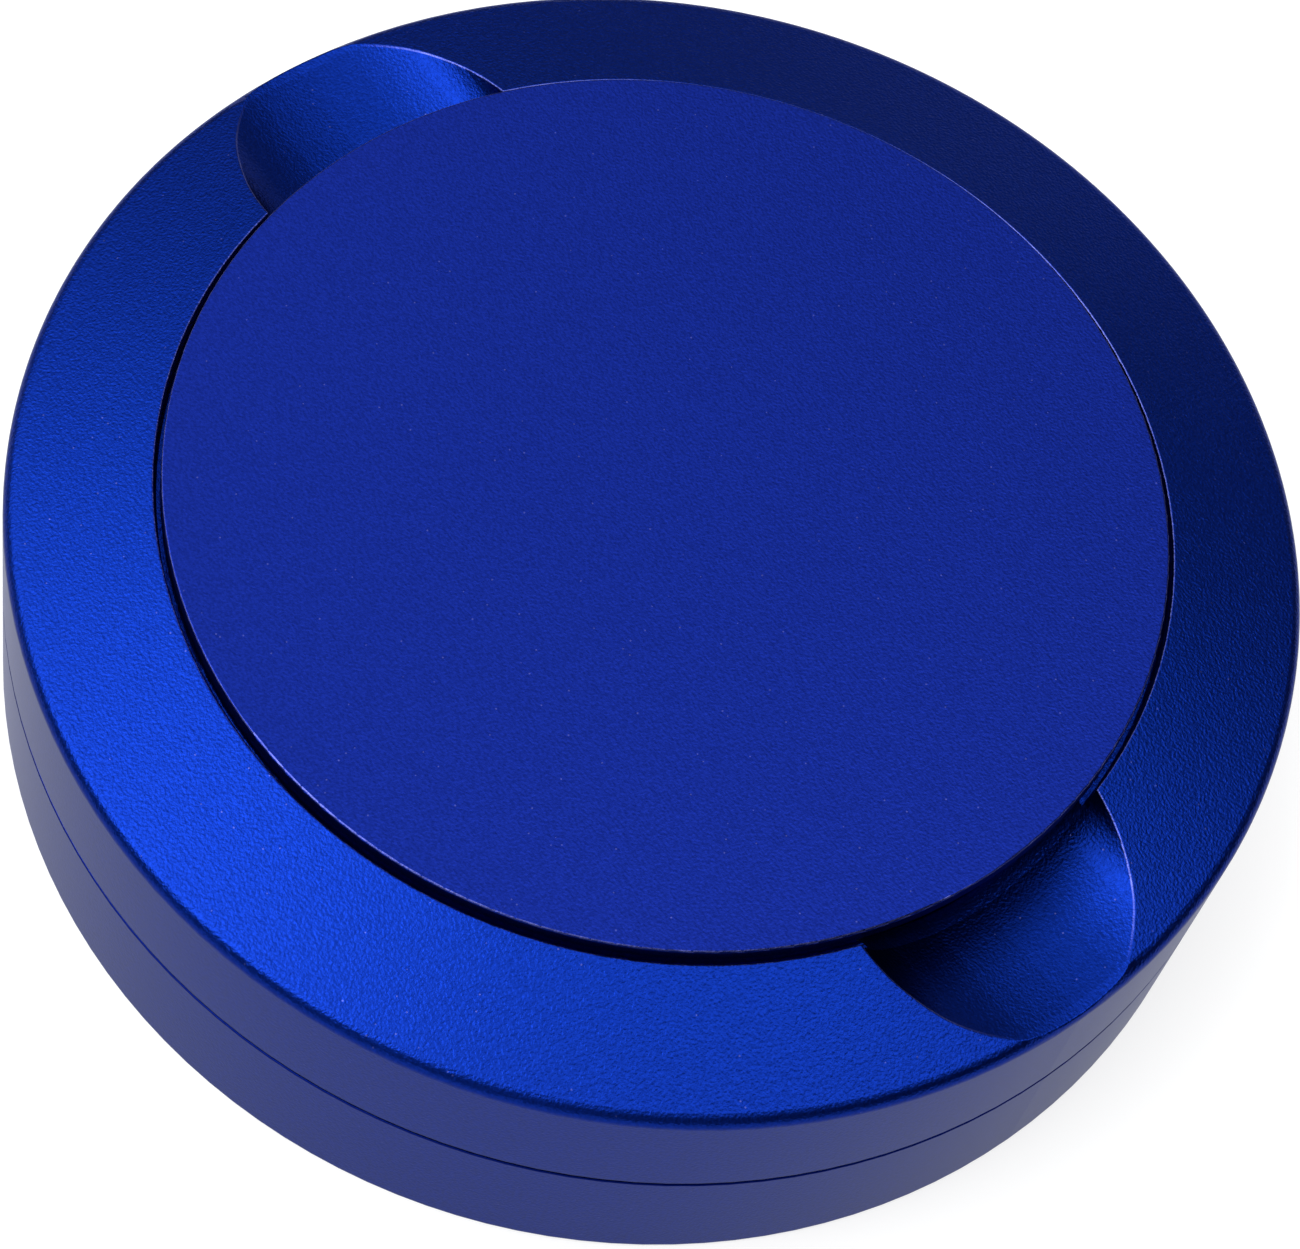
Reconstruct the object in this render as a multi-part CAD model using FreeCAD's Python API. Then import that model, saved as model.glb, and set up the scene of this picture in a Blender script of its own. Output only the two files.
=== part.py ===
"""Round two-compartment pocket can, turned and milled from aluminium and anodised blue.

A base cup carries a neck with a seal ring. A top shell pushes down over the neck and
closes the cup, and a shallow tray in its top takes a small centre lid with its own seal
ring. Two finger notches across the top let a thumb and finger lift the centre lid.

Units are millimetres. +Z is up, the origin is the centre of the base's underside, and the
two finger notches lie on the X axis.
"""

import FreeCAD
import Part
import math
import os

# ---- driving dimensions ----
OUTER_RADIUS = 35.0
TOTAL_HEIGHT = 19.5          # underside to the top face of the centre lid
SEAM_HEIGHT = 9.0            # where the base's outer wall meets the top shell's
WALL = 1.5                   # the top shell's skirt
SEAM_GAP = 0.24              # the joint stands open by this much at its outer edge
SEAM_SEAT_RADIUS = 34.4      # and is closed inside this radius

# centre lid
LID_RADIUS = 26.9
LID_PLATE = 0.9              # thickness of the lid's rim
LID_PROUD = 0.6              # the lid's face above the shell's inner edge
LID_GAP = 0.35               # the ring-shaped gap round the lid
LID_SEAT_RADIUS = 26.75      # the ledge the lid's rim stands on ends here
SEAT_RELIEF_DEPTH = 0.9      # a groove outside the ledge keeps its corner clear
SEAT_RELIEF_OVERCUT = 0.1    # how far the groove's cutter stands above the ledge
PLUG_DEPTH = 2.9             # how far the lid's plug goes down into the tray
PLUG_WALL = 2.2

# top shell
CONE_SLOPE = math.radians(15.0)
RIM_ROUNDING = 0.8           # between the sloping ring and the side wall
TRAY_RADIUS = 26.2
TRAY_FLOOR_HEIGHT = 14.3
WEB = 1.2                    # between the tray and the main compartment

# finger notches: troughs of near-elliptical section that run out radially and rise to the rim
NOTCH_HALF_WIDTH = 7.95
NOTCH_DEPTH = 3.0            # from the trough's widest line to its lowest
NOTCH_TURNS = (9, 22, 45, 90)   # slope in degrees at the end of each arc, from the floor up
NOTCH_RISE = 6.0             # degrees
NOTCH_END_HEIGHT = 16.7      # the trough's lowest line at the outer wall
NOTCH_START_RADIUS = 24.0    # inside the tray, where there is nothing to cut

# base cup
BASE_FLOOR = 1.6
FIT_CLEARANCE = 0.1          # neck to skirt, and plug to tray wall, on the radius
NECK_WALL = 2.4
NECK_TOP_GAP = 0.1           # between the neck's end and the web
FOOT_RELIEF_RADIUS = 30.0    # a shallow recess leaves a ring to stand on
FOOT_RELIEF_DEPTH = 0.3

# seal rings
NECK_RING_SECTION = 1.0
LID_RING_SECTION = 1.2
RING_CLEARANCE = 0.05        # ring to groove floor, and ring to the bore it grips
GROOVE_SLACK = 0.3           # how much wider a groove is than its ring
NECK_RING_HEIGHT = 11.2
LID_RING_DROP = 1.2          # ring centre below the lid rim's underside

# small edge breaks and corner roundings
EDGE_BREAK = 0.12
FINE_BREAK = 0.08
FOOT_BREAK = 0.25
GROOVE_CORNER = 0.15
MOUTH_ROUNDING = 0.3
COMPARTMENT_CORNER = 1.2
TRAY_CORNER = 0.6

# ---- sizes worked out from those ----
LID_UNDERSIDE = TOTAL_HEIGHT - LID_PLATE
SHELL_INNER_EDGE_RADIUS = LID_RADIUS + LID_GAP
SHELL_INNER_EDGE_HEIGHT = TOTAL_HEIGHT - LID_PROUD
RING_WIDTH = OUTER_RADIUS - SHELL_INNER_EDGE_RADIUS
RIM_CORNER_HEIGHT = SHELL_INNER_EDGE_HEIGHT - math.tan(CONE_SLOPE) * RING_WIDTH
SKIRT_RADIUS = OUTER_RADIUS - WALL
WEB_UNDERSIDE = TRAY_FLOOR_HEIGHT - WEB
NECK_RADIUS = SKIRT_RADIUS - FIT_CLEARANCE
CUP_RADIUS = NECK_RADIUS - NECK_WALL
NECK_TOP = WEB_UNDERSIDE - NECK_TOP_GAP
PLUG_RADIUS = TRAY_RADIUS - FIT_CLEARANCE
PLUG_BOTTOM = LID_UNDERSIDE - PLUG_DEPTH
LID_RING_HEIGHT = LID_UNDERSIDE - LID_RING_DROP

SAME_POINT = 1e-6
ALONG_X = 0.5                # an axis with more X than this runs along a notch
AXIS_START = FreeCAD.Vector(0, 0, 0)
UP = FreeCAD.Vector(0, 0, 1)


def point(radius, height):
    return FreeCAD.Vector(radius, 0, height)


def corner_arc(before, corner, after, rounding):
    """Start, middle and end of the arc that rounds a corner between two straight lines."""
    to_before = (before - corner).normalize()
    to_after = (after - corner).normalize()
    half_angle = to_before.getAngle(to_after) / 2
    inward = (to_before + to_after).normalize()
    setback = rounding / math.tan(half_angle)
    centre = corner + inward * (rounding / math.sin(half_angle))
    return corner + to_before * setback, centre - inward * rounding, corner + to_after * setback


def turned(corners):
    """A solid of revolution about Z from (radius, height, rounding) corners."""
    count = len(corners)
    places = [point(radius, height) for radius, height, rounding in corners]
    arcs = []
    for i, (radius, height, rounding) in enumerate(corners):
        if rounding:
            arcs.append(corner_arc(places[i - 1], places[i], places[(i + 1) % count], rounding))
        else:
            arcs.append((places[i], None, places[i]))
    edges = []
    for i, (start, middle, end) in enumerate(arcs):
        if middle is not None:
            edges.append(Part.Arc(start, middle, end).toShape())
        following = arcs[(i + 1) % count][0]
        if end.distanceToPoint(following) > SAME_POINT:
            edges.append(Part.makeLine(end, following))
    face = Part.Face(Part.Wire(edges))
    return face.revolve(AXIS_START, UP, 360)


def seal_ring(outer_radius, height, section):
    """A plain round-section ring."""
    return Part.makeTorus(outer_radius - section / 2, section / 2, point(0, height), UP)


def groove(outer_radius, height, section):
    """Corners, from the bottom up, of a groove for a seal ring in the wall of a plug."""
    floor_radius = outer_radius - section - RING_CLEARANCE
    half_width = (section + GROOVE_SLACK) / 2
    return floor_radius, height - half_width, height + half_width


def base_cup():
    ring_radius = SKIRT_RADIUS - RING_CLEARANCE
    floor_radius, low, high = groove(ring_radius, NECK_RING_HEIGHT, NECK_RING_SECTION)
    return turned([
        (0, FOOT_RELIEF_DEPTH, 0),
        (FOOT_RELIEF_RADIUS, FOOT_RELIEF_DEPTH, GROOVE_CORNER),
        (FOOT_RELIEF_RADIUS + FOOT_RELIEF_DEPTH, 0, EDGE_BREAK),
        (OUTER_RADIUS, 0, FOOT_BREAK),
        (OUTER_RADIUS, SEAM_HEIGHT - SEAM_GAP, FINE_BREAK),
        (SEAM_SEAT_RADIUS, SEAM_HEIGHT - SEAM_GAP, 0),
        (SEAM_SEAT_RADIUS, SEAM_HEIGHT, 0),
        (NECK_RADIUS, SEAM_HEIGHT, FINE_BREAK),
        (NECK_RADIUS, low, FINE_BREAK),
        (floor_radius, low, GROOVE_CORNER),
        (floor_radius, high, GROOVE_CORNER),
        (NECK_RADIUS, high, FINE_BREAK),
        (NECK_RADIUS, NECK_TOP, MOUTH_ROUNDING),
        (CUP_RADIUS, NECK_TOP, MOUTH_ROUNDING),
        (CUP_RADIUS, BASE_FLOOR, COMPARTMENT_CORNER),
        (0, BASE_FLOOR, 0),
    ])


def trough_section():
    """The cutter's outline across a notch: arcs that follow half an ellipse, lowest at the origin."""
    def half_width(slope):
        return NOTCH_HALF_WIDTH ** 2 * math.sin(slope) / math.hypot(
            NOTCH_HALF_WIDTH * math.sin(slope), NOTCH_DEPTH * math.cos(slope))

    arcs = {-1: [], 1: []}
    start, y, z = 0, 0, 0
    for end in map(math.radians, NOTCH_TURNS):
        radius = (half_width(end) - half_width(start)) / (math.sin(end) - math.sin(start))
        centre_y, centre_z = y - radius * math.sin(start), z + radius * math.cos(start)
        places = [
            (centre_y + radius * math.sin(slope), centre_z - radius * math.cos(slope))
            for slope in (start, (start + end) / 2, end)
        ]
        for hand in arcs:
            arcs[hand].append(Part.Arc(*(FreeCAD.Vector(0, hand * v, h) for v, h in places)).toShape())
        start, (y, z) = end, places[-1]
    left, right, above = FreeCAD.Vector(0, -y, z), FreeCAD.Vector(0, y, z), UP * NOTCH_DEPTH
    top = Part.makePolygon([right, right + above, left + above, left])
    outline = [*reversed(arcs[-1]), *arcs[1], *top.Edges]
    return Part.Face(Part.Wire(Part.sortEdges(outline)[0]))


def notch_cutter():
    """The space one notch takes, on the +X side."""
    length = OUTER_RADIUS - NOTCH_START_RADIUS
    section = trough_section()
    section.translate(FreeCAD.Vector(-length, 0, 0))
    trough = section.extrude(FreeCAD.Vector(length + RIM_ROUNDING, 0, 0))
    trough.rotate(AXIS_START, FreeCAD.Vector(0, 1, 0), -NOTCH_RISE)
    trough.translate(point(OUTER_RADIUS, NOTCH_END_HEIGHT))
    return trough


def notch_outline(shell):
    """The edges where a notch meets the sloping ring and the rim's rounding."""
    outline = []
    for edge in shell.Edges:
        cut_faces = [
            face for face in shell.ancestorsOfType(edge, Part.Face)
            if isinstance(face.Surface, Part.Cylinder) and abs(face.Surface.Axis.x) > ALONG_X
        ]
        reach = max(edge.BoundBox.XMax, -edge.BoundBox.XMin)
        if len(cut_faces) == 1 and reach > SHELL_INNER_EDGE_RADIUS:
            outline.append(edge)
    return outline


def seat_relief():
    """The groove round the lid's ledge."""
    low = LID_UNDERSIDE - SEAT_RELIEF_DEPTH
    return turned([
        (LID_SEAT_RADIUS, LID_UNDERSIDE + SEAT_RELIEF_OVERCUT, 0),
        (LID_SEAT_RADIUS, low, GROOVE_CORNER),
        (SHELL_INNER_EDGE_RADIUS, low, GROOVE_CORNER),
        (SHELL_INNER_EDGE_RADIUS, LID_UNDERSIDE + SEAT_RELIEF_OVERCUT, 0),
    ])


def top_shell():
    turned_shell = turned([
        (0, WEB_UNDERSIDE, 0),
        (SKIRT_RADIUS, WEB_UNDERSIDE, MOUTH_ROUNDING),
        (SKIRT_RADIUS, SEAM_HEIGHT, MOUTH_ROUNDING),
        (OUTER_RADIUS, SEAM_HEIGHT, FINE_BREAK),
        (OUTER_RADIUS, RIM_CORNER_HEIGHT, RIM_ROUNDING),
        (SHELL_INNER_EDGE_RADIUS, SHELL_INNER_EDGE_HEIGHT, EDGE_BREAK),
        (SHELL_INNER_EDGE_RADIUS, LID_UNDERSIDE, 0),
        (TRAY_RADIUS, LID_UNDERSIDE, FINE_BREAK),
        (TRAY_RADIUS, TRAY_FLOOR_HEIGHT, TRAY_CORNER),
        (0, TRAY_FLOOR_HEIGHT, 0),
    ])
    cutter = notch_cutter()
    opposite = cutter.copy()
    opposite.rotate(AXIS_START, UP, 180)
    notched = turned_shell.cut(cutter).cut(opposite)
    return notched.makeFillet(EDGE_BREAK, notch_outline(notched)).cut(seat_relief())


def centre_lid():
    ring_radius = TRAY_RADIUS - RING_CLEARANCE
    floor_radius, low, high = groove(ring_radius, LID_RING_HEIGHT, LID_RING_SECTION)
    plug_inner = PLUG_RADIUS - PLUG_WALL
    return turned([
        (0, LID_UNDERSIDE, 0),
        (plug_inner, LID_UNDERSIDE, TRAY_CORNER),
        (plug_inner, PLUG_BOTTOM, MOUTH_ROUNDING),
        (PLUG_RADIUS, PLUG_BOTTOM, MOUTH_ROUNDING),
        (PLUG_RADIUS, low, FINE_BREAK),
        (floor_radius, low, GROOVE_CORNER),
        (floor_radius, high, GROOVE_CORNER),
        (PLUG_RADIUS, high, FINE_BREAK),
        (PLUG_RADIUS, LID_UNDERSIDE, 0),
        (LID_RADIUS, LID_UNDERSIDE, FINE_BREAK),
        (LID_RADIUS, TOTAL_HEIGHT, EDGE_BREAK),
        (0, TOTAL_HEIGHT, 0),
    ])


def neck_seal_ring():
    return seal_ring(SKIRT_RADIUS - RING_CLEARANCE, NECK_RING_HEIGHT, NECK_RING_SECTION)


def lid_seal_ring():
    return seal_ring(TRAY_RADIUS - RING_CLEARANCE, LID_RING_HEIGHT, LID_RING_SECTION)


NODES = {
    "base_cup": base_cup,
    "neck_seal_ring": neck_seal_ring,
    "top_shell": top_shell,
    "centre_lid": centre_lid,
    "lid_seal_ring": lid_seal_ring,
}


def main():
    os.makedirs("parts", exist_ok=True)
    for name, build in NODES.items():
        shape = build()
        assert shape.isValid(), name
        shape.exportStep(f"parts/{name}.step")
        low, high = shape.BoundBox.ZMin, shape.BoundBox.ZMax
        print(f"{name}: {len(shape.Solids)} solid, {shape.Volume:.0f} mm3, z {low:.2f} to {high:.2f}")


main()
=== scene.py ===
"""Looks for a round anodised pocket can: a base cup, a top shell, a centre lid and two seal rings."""

import math

import bpy
from mathutils import Matrix, Vector


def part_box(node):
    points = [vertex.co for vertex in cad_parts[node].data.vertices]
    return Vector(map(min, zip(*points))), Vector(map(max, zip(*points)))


MM = 0.001

# ---- camera ----
CAMERA_DISTANCE = 201.7 * MM      # from the centre of the lid's face
CAMERA_ELEVATION = math.radians(57.27)
CAMERA_AZIMUTH = math.radians(38.9)
CAMERA_AIM_RIGHT = 0.788 * MM     # where it looks, from the centre of the lid's face
CAMERA_AIM_UP = -7.311 * MM
CAMERA_ROLL = math.radians(16.44)
CAMERA_LENS = 105.6
CAMERA_SENSOR = 36.0
CAMERA_CLIP = 10 * MM

# ---- light: brightness is what a mirror would show, where white is 1 ----
WHITE = (1.0, 1.0, 1.0)
# soft glows in the dome above: (elevation, bearing), spread and brightness at the middle.
# Angles are in degrees, and the bearing is seen from the camera: 0 right, 90 ahead, 180 left.
GLOWS = {
    "window": ((61.2, 207.2), 13.0, 8.6),
    "ceiling": ((70.9, 28.6), 13.0, 4.8),
    "left wall": ((41.8, 166.3), 13.0, 4.2),
    "far wall": ((48.8, 111.2), 13.0, 1.9),
    "far horizon": ((5.0, 73.0), 13.0, 1.0),
    "behind the camera": ((28.0, 265.0), 26.0, 0.5),
}

# ---- colours, linear ----
SHELL_BLUE = (0.0024, 0.0158, 0.18)
LID_BLUE = (0.0050, 0.0148, 0.174)
WORN_BLUE = (0.11, 0.125, 0.36)
EDGE_TINT = (0.68, 0.69, 0.68)
# painted shade in the open seam between the base cup and the top shell
SEAM_SHADE_COLOUR = (0.0024, 0.0090, 0.120)
BLACK = (0.0, 0.0, 0.0)
BLACK_RUBBER = (0.012, 0.012, 0.013)
PALE_SILICONE = (0.42, 0.38, 0.17)
FLOOR_GREY = (0.33, 0.33, 0.33)
FLOOR_GLOW = 0.68                 # added to the grey: a light table, white with thin shadows
FLOOR_ROUGHNESS = 0.7
FLOOR_REACH = 2000 * MM

# ---- rubber rings ----
NECK_RING_ROUGHNESS = 0.5
LID_RING_ROUGHNESS = 0.45

# ---- blasted and anodised finish ----
SHELL_ROUGHNESS = 0.34
LID_ROUGHNESS = 0.36
GRAIN_SIZE = 0.16 * MM
GRAIN_DETAIL = 1                  # how many finer layers of noise lie on the grain and the pits
SHELL_GRAIN_DEPTH = 0.032 * MM
LID_GRAIN_DEPTH = 0.020 * MM
WALL_GRAIN_SHARE = 0.3            # the turned side wall's grain, against the faces above
WALL_START = 34.9 * MM            # from the axis
PIT_SIZE = 0.17 * MM
PIT_LEVELS = (0.35, 0.65)         # the noise levels of the deepest pits and the highest peaks
SHELL_PIT_DARKENING = 0.14
LID_PIT_DARKENING = 0.13
SPECK_SPACING = 0.55 * MM
SPECK_SIZE = 0.09                 # a speck's radius, as a share of the spacing
SPECK_SHARE = 0.3                 # about how many of the places have one
SPECK_STRENGTH = 0.3
WEAR_START = 0.015 * MM           # below the top face, where the worn edge begins
WEAR_DEPTH = 0.07 * MM
WEAR_REACH = 34.2 * MM            # from the axis, short of the rim
WEAR_FADE = 3.0 * MM
WEAR_PATCH_SIZE = 1.2 * MM
WEAR_PATCH_DETAIL = 6
SEAM_SHADE_HEIGHTS = (8.67 * MM, 9.09 * MM)   # where the seam's painted shade lies: the open part of the seam and its two broken edges
SEAM_SHADE_START = 34.35 * MM          # from the axis
NOTCH_PAINTED_SHADE = 0.18                # painted shade: how much darker the finger notches are painted than the ring
NOTCH_INNER_PAINTED_SHADE = 0.65          # and how much painted shade lies beside the lid in the notch on the +X side
NOTCH_PAINTED_SHADE_REACH = (28.2 * MM, 31.0 * MM)   # from the axis, where that one fades into the first

# ---- the two top faces, which the worn edges follow ----
RING_INNER_RADIUS = 27.25 * MM
RING_INNER_HEIGHT = 18.9 * MM
RING_SLOPE = math.tan(math.radians(15))
LID_TOP = 19.5 * MM

# ---- the colour sockets of a mix node, whose names other kinds of socket share ----
MIX_FIRST, MIX_SECOND = 6, 7
MIX_RESULT = 2


def node_tree(name):
    """A new material, its node tree and its main shader."""
    material = bpy.data.materials.new(name)
    material.use_nodes = True
    tree = material.node_tree
    return material, tree, tree.nodes["Principled BSDF"]


def calculate(tree, operation, first, second=0.0):
    """A maths node; either input may be a number or another node's output."""
    node = tree.nodes.new("ShaderNodeMath")
    node.operation = operation
    for socket, value in zip(node.inputs, (first, second)):
        if isinstance(value, (int, float)):
            socket.default_value = value
        else:
            tree.links.new(value, socket)
    return node.outputs[0]


def between(tree, value, low, high):
    """How far a value is on its way from low to high, kept within 0 and 1."""
    node = tree.nodes.new("ShaderNodeMapRange")
    tree.links.new(value, node.inputs["Value"])
    node.inputs["From Min"].default_value = low
    node.inputs["From Max"].default_value = high
    return node.outputs["Result"]


def here(tree):
    """The shaded point in the piece's own frame, which is the can's at rest."""
    return tree.nodes.new("ShaderNodeTexCoord").outputs["Object"]


def noise(tree, size, detail):
    """Smooth noise with features about this size."""
    node = tree.nodes.new("ShaderNodeTexNoise")
    node.inputs["Scale"].default_value = 1 / size
    node.inputs["Detail"].default_value = detail
    tree.links.new(here(tree), node.inputs["Vector"])
    return node.outputs["Fac"]


def specks(tree):
    """SPECK_STRENGTH in tiny scattered spots, one in some of the cells, and 0 elsewhere."""
    cells = tree.nodes.new("ShaderNodeTexVoronoi")
    cells.inputs["Scale"].default_value = 1 / SPECK_SPACING
    tree.links.new(here(tree), cells.inputs["Vector"])
    near = calculate(tree, "LESS_THAN", cells.outputs["Distance"], SPECK_SIZE)
    chosen = calculate(tree, "LESS_THAN", cells.outputs["Color"], SPECK_SHARE)
    return calculate(tree, "MULTIPLY", calculate(tree, "MULTIPLY", near, chosen), SPECK_STRENGTH)


def coordinates(tree):
    """X, Y and Z of the shaded point."""
    place = tree.nodes.new("ShaderNodeSeparateXYZ")
    tree.links.new(here(tree), place.inputs["Vector"])
    return place.outputs["X"], place.outputs["Y"], place.outputs["Z"]


def place_on_can(tree):
    """Distance from the can's axis, and height."""
    x, y, height = coordinates(tree)
    squares = [calculate(tree, "POWER", value, 2.0) for value in (x, y)]
    return calculate(tree, "SQRT", calculate(tree, "ADD", *squares)), height


def within(tree, value, low, high):
    """1 between the two limits, 0 outside them."""
    above = calculate(tree, "GREATER_THAN", value, low)
    return calculate(tree, "MULTIPLY", above, calculate(tree, "LESS_THAN", value, high))


def under_face(tree, height, radius, slope):
    """Distance from the axis, and depth under a top face that falls away from a height and radius."""
    from_axis, here_height = place_on_can(tree)
    fall = calculate(tree, "MULTIPLY", calculate(tree, "SUBTRACT", from_axis, radius), slope)
    face_height = calculate(tree, "SUBTRACT", height, fall)
    return from_axis, calculate(tree, "SUBTRACT", face_height, here_height)


def worn_edge(tree, face):
    """Up to 1 on the narrow strip just under a top face."""
    from_axis, below = under_face(tree, *face)
    short_of_rim = calculate(tree, "SUBTRACT", WEAR_REACH, from_axis)
    worn = calculate(tree, "MULTIPLY", within(tree, below, WEAR_START, WEAR_DEPTH),
                     between(tree, short_of_rim, 0.0, WEAR_FADE))
    return calculate(tree, "MULTIPLY", worn, noise(tree, WEAR_PATCH_SIZE, WEAR_PATCH_DETAIL))


def painted_notch_shade(tree, face):
    """Painted shade: how much darker than the ring, 0 outside the finger notches and most beside the
    lid in one.
    """
    from_axis, below = under_face(tree, *face)
    start, end = NOTCH_PAINTED_SHADE_REACH
    near_lid = calculate(tree, "MULTIPLY", between(tree, from_axis, end, start),
                         calculate(tree, "GREATER_THAN", coordinates(tree)[0], 0.0))
    inner = calculate(tree, "MULTIPLY", near_lid, NOTCH_INNER_PAINTED_SHADE - NOTCH_PAINTED_SHADE)
    in_notch = calculate(tree, "MULTIPLY", within(tree, from_axis, RING_INNER_RADIUS, WEAR_REACH),
                         calculate(tree, "GREATER_THAN", below, WEAR_DEPTH))
    return calculate(tree, "MULTIPLY", in_notch, calculate(tree, "ADD", inner, NOTCH_PAINTED_SHADE))


def in_seam(tree):
    """1 inside the open seam and on its broken edges, where its shade is painted, 0 elsewhere."""
    from_axis, height = place_on_can(tree)
    outside = calculate(tree, "GREATER_THAN", from_axis, SEAM_SHADE_START)
    return calculate(tree, "MULTIPLY", outside, within(tree, height, *SEAM_SHADE_HEIGHTS))


def mixed(tree, share, first, second):
    """A colour this share of the way between two; either may be fixed or another node's output."""
    node = tree.nodes.new("ShaderNodeMix")
    node.data_type = "RGBA"
    tree.links.new(share, node.inputs["Factor"])
    for socket, colour in ((MIX_FIRST, first), (MIX_SECOND, second)):
        if isinstance(colour, tuple):
            node.inputs[socket].default_value = (*colour, 1)
        else:
            tree.links.new(colour, node.inputs[socket])
    return node.outputs[MIX_RESULT]


def anodised(name, blue, roughness, grain_depth, pit_darkening, top_face=None):
    """Blue anodised aluminium with the fine grain that bead blasting leaves. A piece with a top face
    is worn along its edge, and has painted shade in notches cut into it."""
    material, tree, shader = node_tree(name)
    shader.inputs["Metallic"].default_value = 1
    shader.inputs["Specular Tint"].default_value = (*EDGE_TINT, 1)
    shader.inputs["Roughness"].default_value = roughness

    in_pit = tuple(part * (1 - pit_darkening) for part in blue)
    on_peak = tuple(part * (1 + pit_darkening) for part in blue)
    pitted = between(tree, noise(tree, PIT_SIZE, GRAIN_DETAIL), *PIT_LEVELS)
    grain_and_notch_shade = mixed(tree, pitted, in_pit, on_peak)
    pale = specks(tree)
    if top_face:
        pale = calculate(tree, "MAXIMUM", pale, worn_edge(tree, top_face))
        # painted shade: the finger notches mixed towards black, most beside the lid in the notch on
        # the +X side
        grain_and_notch_shade = mixed(tree, painted_notch_shade(tree, top_face), grain_and_notch_shade, BLACK)
    before_seam_shade = mixed(tree, pale, grain_and_notch_shade, WORN_BLUE)
    # painted shade: the open seam and its broken edges mixed towards a dark navy
    tree.links.new(mixed(tree, in_seam(tree), before_seam_shade, SEAM_SHADE_COLOUR), shader.inputs["Base Color"])

    on_wall = calculate(tree, "GREATER_THAN", place_on_can(tree)[0], WALL_START)
    smoothing = calculate(tree, "MULTIPLY", on_wall, 1 - WALL_GRAIN_SHARE)
    bump = tree.nodes.new("ShaderNodeBump")
    bump.inputs["Distance"].default_value = grain_depth
    tree.links.new(calculate(tree, "SUBTRACT", 1.0, smoothing), bump.inputs["Strength"])
    tree.links.new(noise(tree, GRAIN_SIZE, GRAIN_DETAIL), bump.inputs["Height"])
    tree.links.new(bump.outputs["Normal"], shader.inputs["Normal"])
    return material


def rubber(name, colour, roughness):
    """A plain rubber."""
    material, _, shader = node_tree(name)
    shader.inputs["Base Color"].default_value = (*colour, 1)
    shader.inputs["Roughness"].default_value = roughness
    return material


def dress(node, material):
    """Gives a piece its only material."""
    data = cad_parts[node].data
    data.materials.clear()
    data.materials.append(material)


def pale_floor():
    """A flat floor under the can that also glows."""
    mesh = bpy.data.meshes.new("floor")
    signs = ((-1, -1), (1, -1), (1, 1), (-1, 1))
    corners = [(x * FLOOR_REACH, y * FLOOR_REACH, 0) for x, y in signs]
    mesh.from_pydata(corners, [], [(0, 1, 2, 3)])
    floor = bpy.data.objects.new("floor", mesh)
    bpy.context.scene.collection.objects.link(floor)
    material, _, shader = node_tree("pale_floor")
    shader.inputs["Base Color"].default_value = (*FLOOR_GREY, 1)
    shader.inputs["Roughness"].default_value = FLOOR_ROUGHNESS
    shader.inputs["Emission Color"].default_value = (*WHITE, 1)
    shader.inputs["Emission Strength"].default_value = FLOOR_GLOW
    mesh.materials.append(material)


def camera_axes():
    """The directions right, up and back of a level camera that looks at the lid's centre."""
    a, e = CAMERA_AZIMUTH, CAMERA_ELEVATION
    back = Vector((math.sin(a) * math.cos(e), -math.cos(a) * math.cos(e), math.sin(e)))
    right = Vector((math.cos(a), math.sin(a), 0))
    return right, back.cross(right), back


def seen_from_camera(elevation, bearing):
    """The direction at an elevation and a bearing in degrees, where 0 is to the camera's right."""
    e, b = math.radians(elevation), math.radians(bearing) + CAMERA_AZIMUTH
    return Vector((math.cos(e) * math.cos(b), math.cos(e) * math.sin(b), math.sin(e)))


def add_camera(lid_top):
    """The camera, placed from the centre of the lid's face at this height."""
    right, up, back = camera_axes()
    centre = Vector((0, 0, lid_top))
    place = centre + back * CAMERA_DISTANCE
    aim = centre + right * CAMERA_AIM_RIGHT + up * CAMERA_AIM_UP
    data = bpy.data.cameras.new("camera")
    data.lens = CAMERA_LENS
    data.sensor_width = CAMERA_SENSOR
    data.clip_start = CAMERA_CLIP
    camera = bpy.data.objects.new("camera", data)
    bpy.context.scene.collection.objects.link(camera)
    look = (place - aim).to_track_quat("Z", "Y").to_matrix().to_4x4()
    camera.matrix_world = Matrix.Translation(place) @ look @ Matrix.Rotation(CAMERA_ROLL, 4, "Z")
    bpy.context.scene.camera = camera


def glow(tree, look, direction, spread, brightness):
    """Brightness of a soft round glow, by how near the looked-at direction is to its middle."""
    facing = tree.nodes.new("ShaderNodeVectorMath")
    facing.operation = "DOT_PRODUCT"
    tree.links.new(look, facing.inputs[0])
    facing.inputs[1].default_value = direction
    apart = calculate(tree, "SUBTRACT", facing.outputs["Value"], 1.0)
    fall_off = calculate(tree, "MULTIPLY", apart, 1 / math.radians(spread) ** 2)
    return calculate(tree, "MULTIPLY", calculate(tree, "POWER", math.e, fall_off), brightness)


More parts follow.
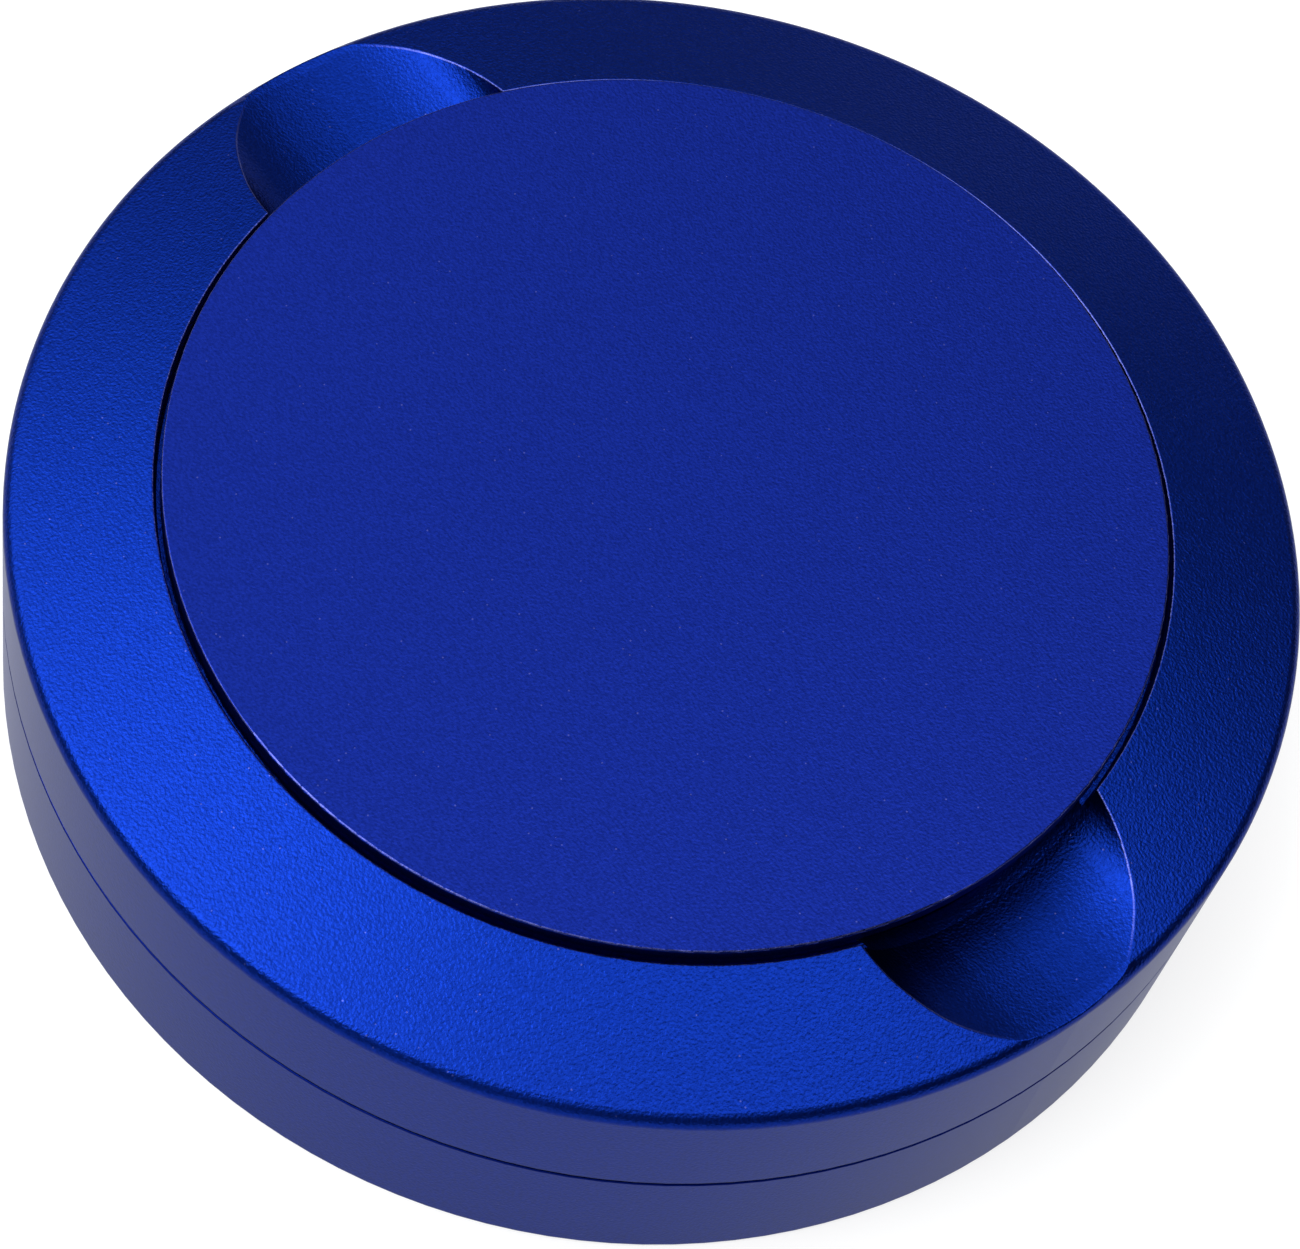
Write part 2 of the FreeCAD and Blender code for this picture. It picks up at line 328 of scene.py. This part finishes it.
def world_light():
    """Soft glows that light the can; the camera itself sees plain white past the floor."""
    world = bpy.data.worlds.new("studio")
    world.use_nodes = True
    tree = world.node_tree
    look = tree.nodes.new("ShaderNodeTexCoord").outputs["Generated"]
    total = 0.0
    for place, spread, brightness in GLOWS.values():
        one = glow(tree, look, seen_from_camera(*place), spread, brightness)
        total = calculate(tree, "ADD", total, one)
    seen = tree.nodes.new("ShaderNodeLightPath").outputs["Is Camera Ray"]
    background = tree.nodes["Background"]
    background.inputs["Color"].default_value = (*WHITE, 1)
    tree.links.new(calculate(tree, "MAXIMUM", total, seen), background.inputs["Strength"])
    bpy.context.scene.world = world


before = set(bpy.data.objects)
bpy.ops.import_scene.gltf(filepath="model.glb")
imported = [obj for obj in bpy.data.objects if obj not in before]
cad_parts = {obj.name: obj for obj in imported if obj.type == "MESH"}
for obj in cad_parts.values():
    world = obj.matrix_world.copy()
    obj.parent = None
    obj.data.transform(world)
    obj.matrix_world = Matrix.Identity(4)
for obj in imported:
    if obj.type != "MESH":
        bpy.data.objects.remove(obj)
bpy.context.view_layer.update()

# a top face: the height and radius of its inner end, and how steeply it falls outwards from there
ring_face = (RING_INNER_HEIGHT, RING_INNER_RADIUS, RING_SLOPE)
lid_face = (LID_TOP, 0.0, 0.0)
shell_finish = (SHELL_BLUE, SHELL_ROUGHNESS, SHELL_GRAIN_DEPTH, SHELL_PIT_DARKENING)
lid_finish = (LID_BLUE, LID_ROUGHNESS, LID_GRAIN_DEPTH, LID_PIT_DARKENING)
dress("base_cup", anodised("anodised_base", *shell_finish))
dress("top_shell", anodised("anodised_shell", *shell_finish, ring_face))
dress("centre_lid", anodised("anodised_lid", *lid_finish, lid_face))
dress("neck_seal_ring", rubber("black_rubber", BLACK_RUBBER, NECK_RING_ROUGHNESS))
dress("lid_seal_ring", rubber("pale_silicone", PALE_SILICONE, LID_RING_ROUGHNESS))

pale_floor()
world_light()
add_camera(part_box("centre_lid")[1].z)
bpy.context.scene.view_settings.view_transform = "Standard"
